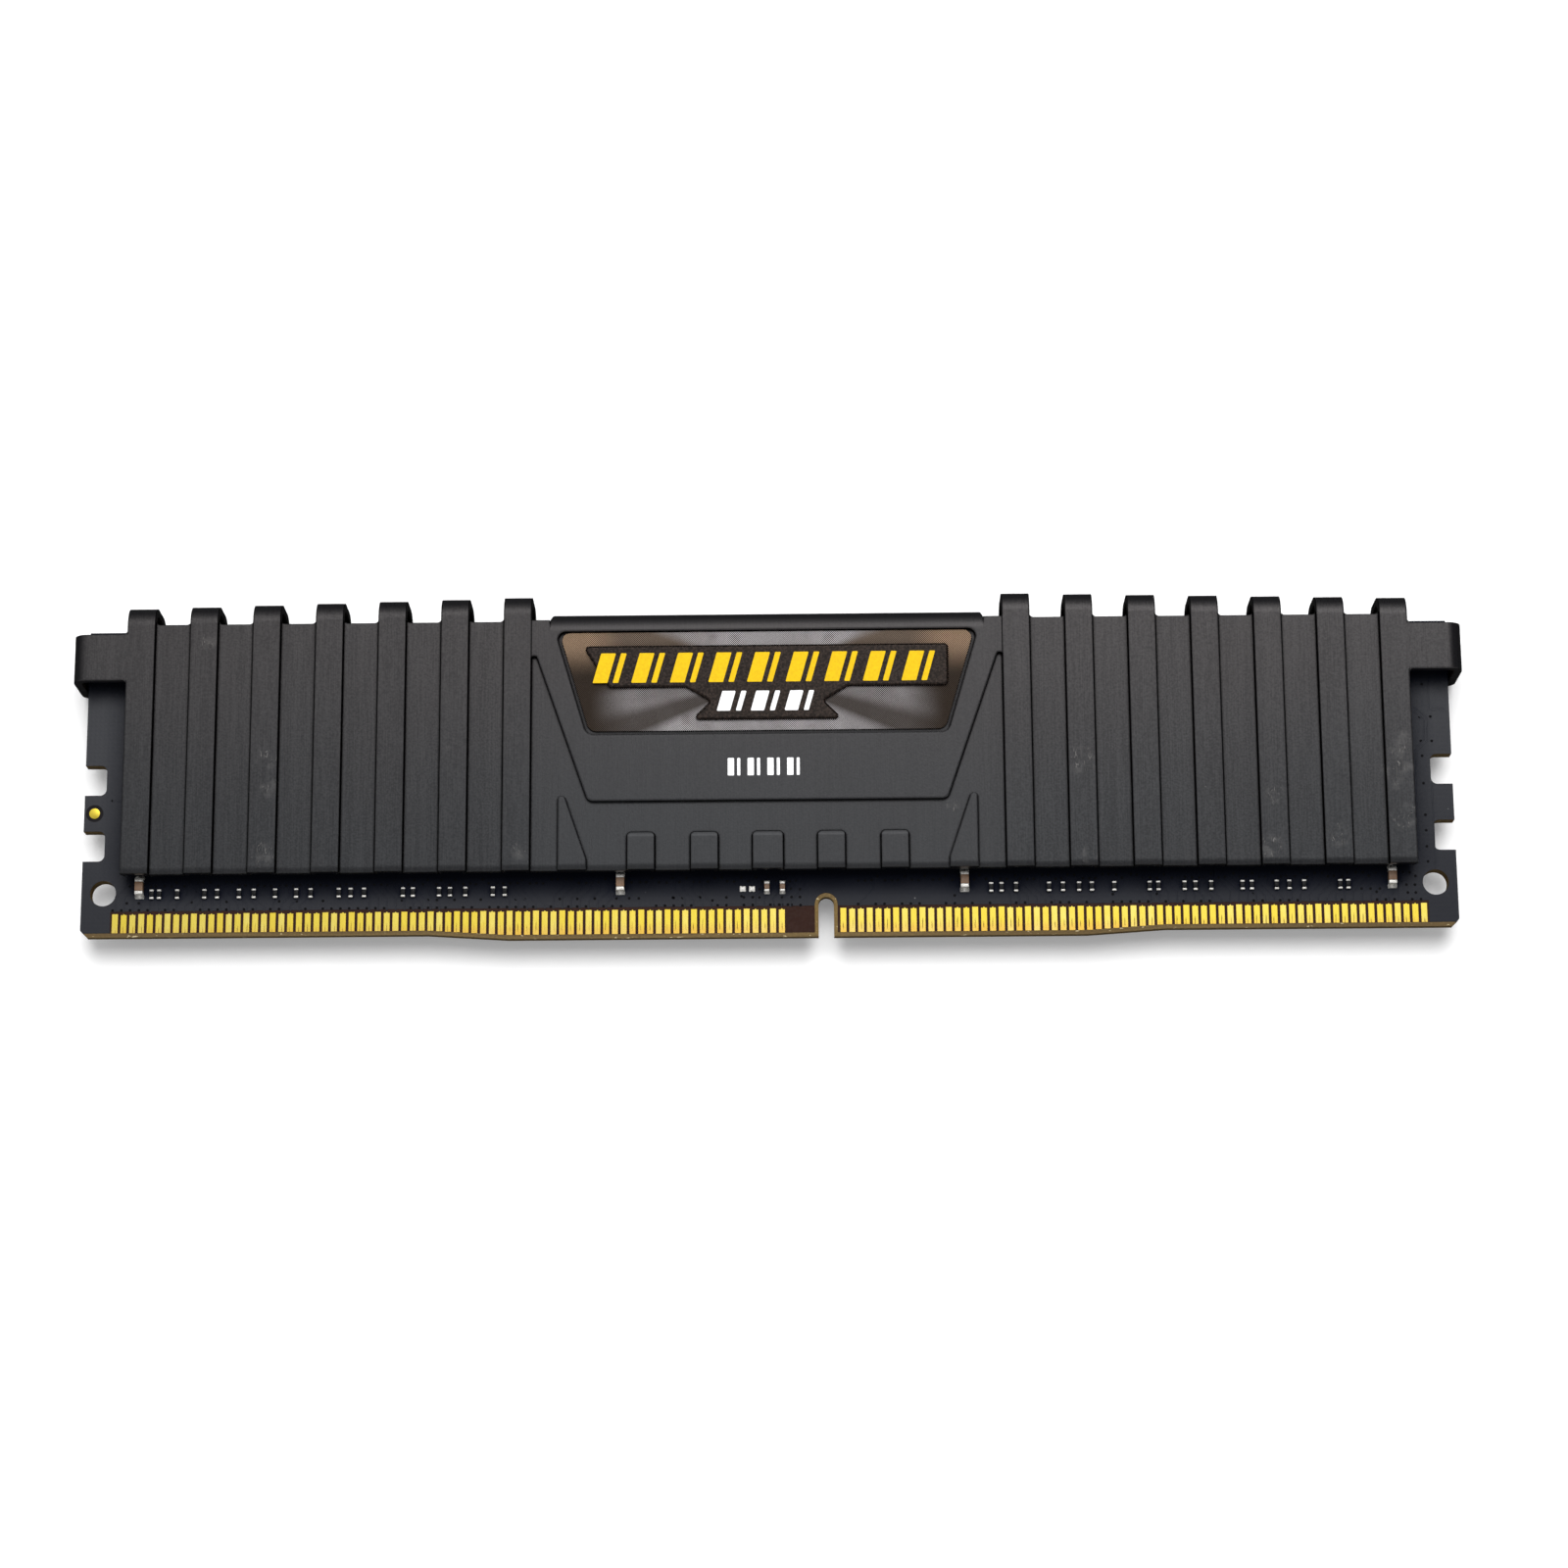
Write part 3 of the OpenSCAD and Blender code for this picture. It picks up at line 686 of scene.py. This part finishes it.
def bar_rows():
    """Plain bars on the plaque and on the panel under it."""
    bar_row(
        "plaque_bars_yellow", "yellow_ink", PLAQUE_TOP,
        start=-17.0, step=33.85 / 9, count=9, second=1.95, widths=(1.45, 0.55),
        low=24.75, high=27.75, slant=0.28,
    )
    bar_row(
        "plaque_bars_white", "white_ink", PLAQUE_TOP,
        start=-4.9, step=3.3, count=3, second=1.85, widths=(1.3, 0.5),
        low=21.85, high=23.85, slant=0.28,
    )
    bar_row(
        "panel_bars_white", "white_ink", RAISED_OUT,
        start=-3.85, step=1.92, count=4, second=0.92, widths=(0.62, 0.3), low=15.35, high=17.1,
    )


def solder_fillet(build, x, width, end, way, reach, height):
    """A concave solder fillet between a part's end and its pad."""
    steps = 6
    rings = []
    for k in range(steps + 1):
        t = k / steps * math.pi / 2
        y = end + way * reach * (1 - math.sin(t))
        z = MASK_TOP + 0.012 + height * (1 - math.cos(t)) ** 3
        spread = width / 2 + 0.04 * math.sin(math.pi * k / steps)
        foot, foot_y = spread * 0.96, y - way * 0.02
        rings.append([
            (x - spread, y, z), (x + spread, y, z),
            (x + foot, foot_y, MASK_TOP), (x - foot, foot_y, MASK_TOP),
        ])
    build.loops(rings, True, True)


def solder_joints():
    build = Build()
    for places, ends, width, reach, height in (
        (CAPACITOR_X, CAPACITOR_ENDS, 0.84, 0.36, 0.5),
        (SMALL_CAPACITOR_X, SMALL_CAPACITOR_ENDS, 0.5, 0.2, 0.3),
    ):
        for x in places:
            solder_fillet(build, x, width, ends[0], -1, reach, height)
            solder_fillet(build, x, width, ends[1], 1, reach, height)
    add_piece("solder_fillets", build.points, build.faces, "tin", True)


def via(build, x, y, ring):
    """A via: a dark disc on the mask, painted shade that stands for the hole, with or without a low
    ring of mask. The last face is the hole.
    """
    sides, radius = 14, VIA_RADIUS
    profile = ((radius + 0.02, 0.0), (radius, 0.004))
    if ring:
        profile = (
            (radius + 0.12, 0.0), (radius + 0.09, 0.008), (radius + 0.02, 0.010), (radius, 0.005),
        )
    turns = [2 * math.pi * k / sides for k in range(sides)]
    build.loops([
        [(x + r * math.cos(a), y + r * math.sin(a), MASK_TOP + z) for a in turns]
        for r, z in profile
    ])
    return len(build.faces) - 1


def trace(build, route):
    """A ridge in the mask over a copper track."""
    ridge = []
    for i, here in enumerate(route):
        p = Vector(here)
        a = (p - Vector(route[i - 1])).normalized() if i else None
        b = (Vector(route[i + 1]) - p).normalized() if i + 1 < len(route) else None
        along = (a + b).normalized() if a and b else a or b
        side = Vector((-along.y, along.x))
        spread = TRACK_WIDTH / 2 / max(0.5, side.dot(Vector((-(b or a).y, (b or a).x))))
        ridge.append([
            (*(p + side * spread * s), MASK_TOP + z)
            for s, z in ((-1.5, 0.0), (-0.9, TRACK_HEIGHT), (0.9, TRACK_HEIGHT), (1.5, 0.0))
        ])
    start = len(build.points)
    for row in ridge:
        build.points.extend(row)
    for i in range(len(ridge) - 1):
        for k in range(3):
            low = start + i * 4 + k
            build.faces.append((low, low + 4, low + 5, low + 1))


CORNER_VIAS = [
    (63.74, 21.34), (64.79, 21.37), (63.76, 18.92), (64.82, 18.91), (63.82, 17.42), (63.83, 14.66),
    (63.02, 14.67), (63.87, 11.5), (63.88, 9.96), (63.87, 8.35), (63.91, 6.85), (61.72, 4.56),
    (62.54, 4.55), (61.83, 3.78), (62.59, 3.78), (64.1, 24.65), (-63.95, 14.07), (-62.23, 3.82),
    (-61.06, 3.81), (57.37, 4.21), (58.23, 4.2), (59.14, 4.2),
]
MIDDLE_VIAS = [
    (2.18, 4.69), (3.05, 4.63), (2.22, 3.87), (3.04, 3.86), (2.22, 3.11), (3.09, 3.07), (1.3, 3.86),
    (0.47, 3.12), (1.3, 3.11), (-0.88, 3.86), (-0.87, 4.67), (-2.62, 3.99), (-5.43, 3.6),
    (-6.69, 3.91),
    (-14.73, 3.89), (-13.5, 3.88), (-12.57, 3.87), (-9.26, 3.91),
]
END_TRACES = [
    [
        (62.3, 22.34), (63.3, 22.3), (64.46, 21.2), (64.35, 18.9), (63.31, 17.87), (63.05, 14.47),
        (63.14, 8.0),
    ],
    [
        (62.3, 22.0), (63.15, 21.95), (64.15, 21.05), (64.05, 19.0), (63.0, 17.95), (62.8, 14.4),
        (62.85, 8.0),
    ],
    [(64.74, 25.3), (64.67, 22.03), (66.36, 21.86)],
    [(64.99, 22.3), (66.16, 22.2)],
    [(64.65, 14.68), (64.6, 6.2)],
    [(60.94, 4.89), (61.78, 4.88)],
    [(-63.95, 14.07), (-62.7, 14.0)],
]


def contact_x(number):
    return FIRST_CONTACT + number * PITCH


def board_routes(chance):
    """Vias and tracks between the contacts and the plates' lower edge."""
    spots, routes = list(CORNER_VIAS + MIDDLE_VIAS), list(END_TRACES)
    numbers = [n for n in range(CONTACTS) if abs(contact_x(n) - KEY_X) > 3.2]
    group = 0
    for n in numbers:
        x = contact_x(n)
        if chance.random() < 0.62:
            spots.append((x - VIA_ASIDE, 3.12))
        if chance.random() < 0.16:
            spots.append((x - VIA_ASIDE, 3.88))
        group -= 1
        if group < 0:  # a new group of tracks that lean the same way, or a gap
            group = chance.randint(3, 9)
            lean = chance.choice((-1, 1)) * chance.uniform(0.6, 1.5)
            skip = chance.random() < 0.25
        if skip:
            continue
        bend = 3.35 + 0.12 * group
        routes.append([(x, 2.9), (x, bend), (x + lean, bend + abs(lean)), (x + lean, 6.8)])
    for k in range(UPPER_VIAS):
        x = -62 + k * 0.66 + chance.uniform(-0.12, 0.12)
        if abs(x - KEY_X) > 2.4:
            spots.append((x, 5.45 + chance.choice((0.0, 0.0, 0.38)) + chance.uniform(-0.05, 0.05)))
    return spots, routes


def board_detail():
    spots, routes = board_routes(random.Random(ROUTES_SEED))
    tracks = Build()
    for route in routes:
        trace(tracks, route)
    add_piece("board_tracks", tracks.points, tracks.faces, "solder_mask")
    vias = Build()
    holes = [via(vias, x, y, 5.0 < y < 6.5) for x, y in spots]
    piece = add_piece("board_vias", vias.points, vias.faces, "solder_mask")
    piece.data.materials.append(MATERIALS["via_hole"])
    for face in holes:
        piece.data.polygons[face].material_index = 1


def label_print():
    """Plain dark bars on the rear label."""
    build = Build()
    chance = random.Random(LABEL_SEED)
    x = -15.0
    while x < -2.0:
        width = chance.choice((0.25, 0.25, 0.5, 0.75))
        slanted_bar(build, x, 21.4, 24.2, width, 0.0, -LABEL_OUT, -LABEL_INK)
        x += width + chance.choice((0.3, 0.55))
    for left, top, step, height, lengths in (
        (-14.0, 28.0, 1.15, 0.45, (24.0, 19.0, 22.0)),
        (1.5, 23.4, 0.95, 0.4, (11.0, 8.0, 9.5)),
    ):
        for i, length in enumerate(lengths):
            low = top - i * step
            slanted_bar(build, left, low, low + height, length, 0.0, -LABEL_OUT, -LABEL_INK)
    add_piece("label_bars", build.points, build.faces, "dark_ink")


# ---- the studio ----


def floor_material():
    """A pale table that stays dark in reflections."""
    s = Shader("floor", 0.7)
    grain = s.noise(400, 3)
    path = s.node("LightPath")
    seen = path.outputs["Is Camera Ray"]
    unlit = s.mix(path.outputs["Is Glossy Ray"], (0.10, 0.10, 0.10), (0.015, 0.015, 0.015))
    pale = s.mix(grain, (0.84, 0.84, 0.845), (0.88, 0.88, 0.88))
    s.set("Base Color", s.mix(seen, unlit, pale))
    s.set("Emission Color", (1.0, 1.0, 1.0))
    s.set("Emission Strength", s.times(seen, 0.17))
    s.bump((grain, 0.00001))
    return s.material


FRONT_FILL, BACK_FILL = 0.52, 0.03  # the world's strength towards -Y and +Y
GLOW = (  # lobes of soft light: middle in X and Y, reach in X and Y, strength
    (0.09, 0.48, 0.27, 0.31, 2.55),
    (-0.45, 0.35, 0.28, 0.50, 0.65),
)
KEY_AT = (0.03, 0.36, 0.88)
KEY_WIDTH = 0.85
KEY_WATTS = 10.6
LENS, SENSOR = 92.436, 36  # millimetres
CAMERA_AT = (0.004701, -0.097142, 0.385015)
CAMERA_TURN = (14.0453, 0.5683, -0.3896)  # degrees


def glow():
    """World light: soft lobes above and behind the module over a dim fill."""
    world = bpy.data.worlds.new("studio")
    bpy.context.scene.world = world
    world.use_nodes = True
    s = Nodes(world.node_tree)
    direction = s.node("TexCoord").outputs["Generated"]
    x, y, z = s.node("SeparateXYZ", {0: direction}).outputs
    light = s.band(y, -0.6, 0.3, FRONT_FILL, BACK_FILL)
    for middle_x, middle_y, wide, deep, strength in GLOW:
        across = s.over(s.minus(x, middle_x), wide)
        along = s.over(s.minus(y, middle_y), deep)
        apart = s.plus(s.times(across, across), s.times(along, along))
        lobe = s.math("EXPONENT", s.times(apart, -1.0))
        light = s.plus(light, s.times(lobe, s.band(z, 0.0, 0.3, 0.0, strength)))
    background = world.node_tree.nodes["Background"]
    s.feed(background.inputs["Strength"], light)
    s.feed(background.inputs["Color"], (1.0, 1.0, 1.0))


def key_light():
    """A soft key for the matt surfaces; the glow alone makes the reflections."""
    key = bpy.data.lights.new("key", "AREA")
    key.shape = "DISK"
    key.size = KEY_WIDTH
    key.energy = KEY_WATTS
    place = bpy.data.objects.new("key", key)
    place.location = KEY_AT
    place.rotation_euler = (-place.location).to_track_quat("-Z", "Y").to_euler()
    place.visible_glossy = False
    bpy.context.scene.collection.objects.link(place)


def studio():
    bpy.ops.mesh.primitive_plane_add(size=4, location=(0, 0, 0))
    floor = bpy.context.object
    floor.name = "floor"
    floor.data.materials.append(floor_material())
    glow()
    key_light()


def camera():
    lens = bpy.data.cameras.new("camera")
    lens.lens = LENS
    lens.sensor_width = SENSOR
    place = bpy.data.objects.new("camera", lens)
    place.location = CAMERA_AT
    place.rotation_euler = [math.radians(a) for a in CAMERA_TURN]
    bpy.context.scene.collection.objects.link(place)
    bpy.context.scene.camera = place
    bpy.context.scene.view_settings.view_transform = "Standard"


camera()
finish_cad_parts()
bar_rows()
solder_joints()
board_detail()
label_print()
studio()
